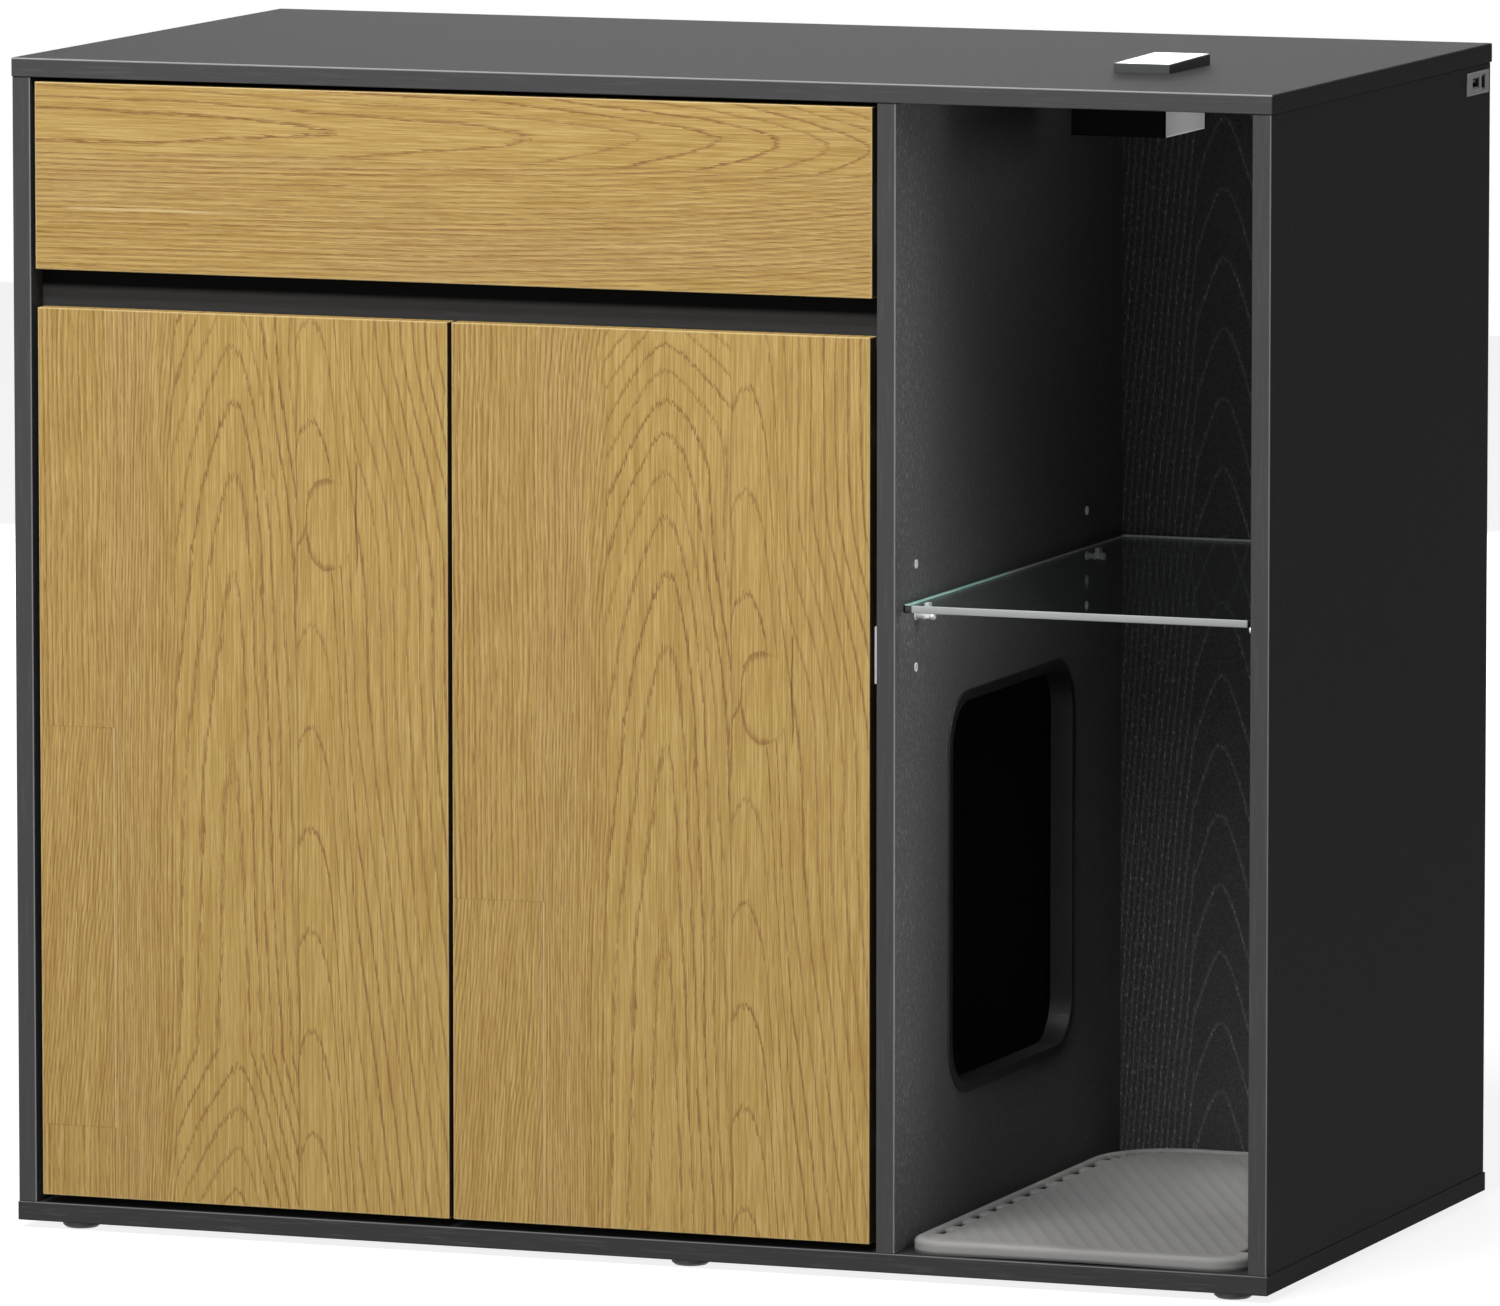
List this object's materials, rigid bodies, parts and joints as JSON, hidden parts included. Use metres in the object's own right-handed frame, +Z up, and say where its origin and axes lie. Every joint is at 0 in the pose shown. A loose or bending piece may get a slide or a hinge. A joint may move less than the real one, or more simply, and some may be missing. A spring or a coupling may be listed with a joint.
{
  "type": "cat litter box cabinet",
  "caption": "Black cabinet with oak drawer and doors, an open niche with a glass shelf, a cat entry and a litter mat.",
  "frame": {"origin": "middle of the footprint on the floor, under the feet", "axes": "+X to the cabinet's right seen from the front, +Y to its back, +Z up"},
  "size_m": [1.04, 0.548, 0.9345],
  "materials": {
    "black_board": "black wood-grain laminate on board, satin",
    "black_back": "black wood-grain laminate on thin board",
    "oak": "oak-grain laminate on board, satin",
    "beech": "raw beech",
    "zinc": "zinc-plated steel",
    "nickel": "nickel-plated steel",
    "grey_metal": "anodised aluminium",
    "dark_metal": "dark anodised aluminium",
    "black_plastic": "matt",
    "grey_plastic": "matt",
    "light_plastic": "satin",
    "white_plastic": "satin",
    "pad_face": "gloss",
    "clear_rubber": "soft, translucent",
    "mat_foam": "matt foam, embossed",
    "glass": "clear polished"
  },
  "bodies": {
    "cabinet": {"top_panel": "black_board", "bottom_panel": "black_board", "left_side_panel": "black_board", "right_side_panel": "black_board", "divider_panel": "black_board", "left_back_panel": "black_back", "right_back_panel": "black_back", "finger_rail": "black_board", "drawer_deck": "black_board", "glide_feet": "black_plastic", "dowels": "beech", "cam_locks": "zinc", "cam_bolts": "zinc", "hinge_plates": "nickel", "hinge_pins": "nickel", "hinge_plate_screws": "zinc", "door_catches": "grey_plastic", "divider_edge_plate": "nickel", "glass_shelf": "glass", "shelf_pins": "nickel", "shelf_pads": "clear_rubber", "pin_sleeves": "white_plastic", "entry_trim_front": "black_plastic", "entry_trim_rear": "black_plastic", "litter_mat": "mat_foam", "module_sleeve": "grey_metal", "module_end_caps": "black_plastic", "pad_shell": "dark_metal", "pad_face": "pad_face", "port_plate": "light_plastic", "usb_port": "black_plastic", "power_socket": "black_plastic", "left_upper_hinge_arm": "nickel", "left_lower_hinge_arm": "nickel", "left_cabinet_runner": "zinc", "right_upper_hinge_arm": "nickel", "right_lower_hinge_arm": "nickel", "right_cabinet_runner": "zinc"},
    "drawer": {"drawer_front": "oak", "drawer_left_side": "black_board", "drawer_right_side": "black_board", "drawer_back": "black_board", "drawer_bottom": "black_back", "drawer_dowels": "beech", "left_drawer_runner": "zinc", "right_drawer_runner": "zinc"},
    "left_slide": {"left_middle_runner": "zinc", "left_runner_balls": "zinc"},
    "left_door_leaf": {"left_door": "oak", "left_upper_hinge_cup": "nickel", "left_lower_hinge_cup": "nickel", "left_door_screws": "zinc", "left_strike_plate": "nickel"},
    "right_slide": {"right_middle_runner": "zinc", "right_runner_balls": "zinc"},
    "right_door_leaf": {"right_door": "oak", "right_upper_hinge_cup": "nickel", "right_lower_hinge_cup": "nickel", "right_door_screws": "zinc", "right_strike_plate": "nickel"}
  },
  "joints": [
    {"name": "drawer_slide", "type": "slide", "parent": "cabinet", "child": "drawer", "axis": [0, -1, 0], "range_m": [0, 0.4]},
    {"name": "left_runner_slide", "type": "slide", "parent": "cabinet", "child": "left_slide", "axis": [0, -1, 0], "range_m": [0, 0.2]},
    {"name": "right_runner_slide", "type": "slide", "parent": "cabinet", "child": "right_slide", "axis": [0, -1, 0], "range_m": [0, 0.2]},
    {"name": "left_door_swing", "type": "hinge", "parent": "cabinet", "child": "left_door_leaf", "pos_m": [-0.4875, -0.265, 0.379], "axis": [0, 0, -1], "range_deg": [0, 95]},
    {"name": "right_door_swing", "type": "hinge", "parent": "cabinet", "child": "right_door_leaf", "pos_m": [0.185, -0.265, 0.379], "axis": [0, 0, 1], "range_deg": [0, 95]}
  ],
  "couplings": [
    {"joint": "left_runner_slide", "follows": "drawer_slide", "ratio": 0.5},
    {"joint": "right_runner_slide", "follows": "drawer_slide", "ratio": 0.5}
  ]
}
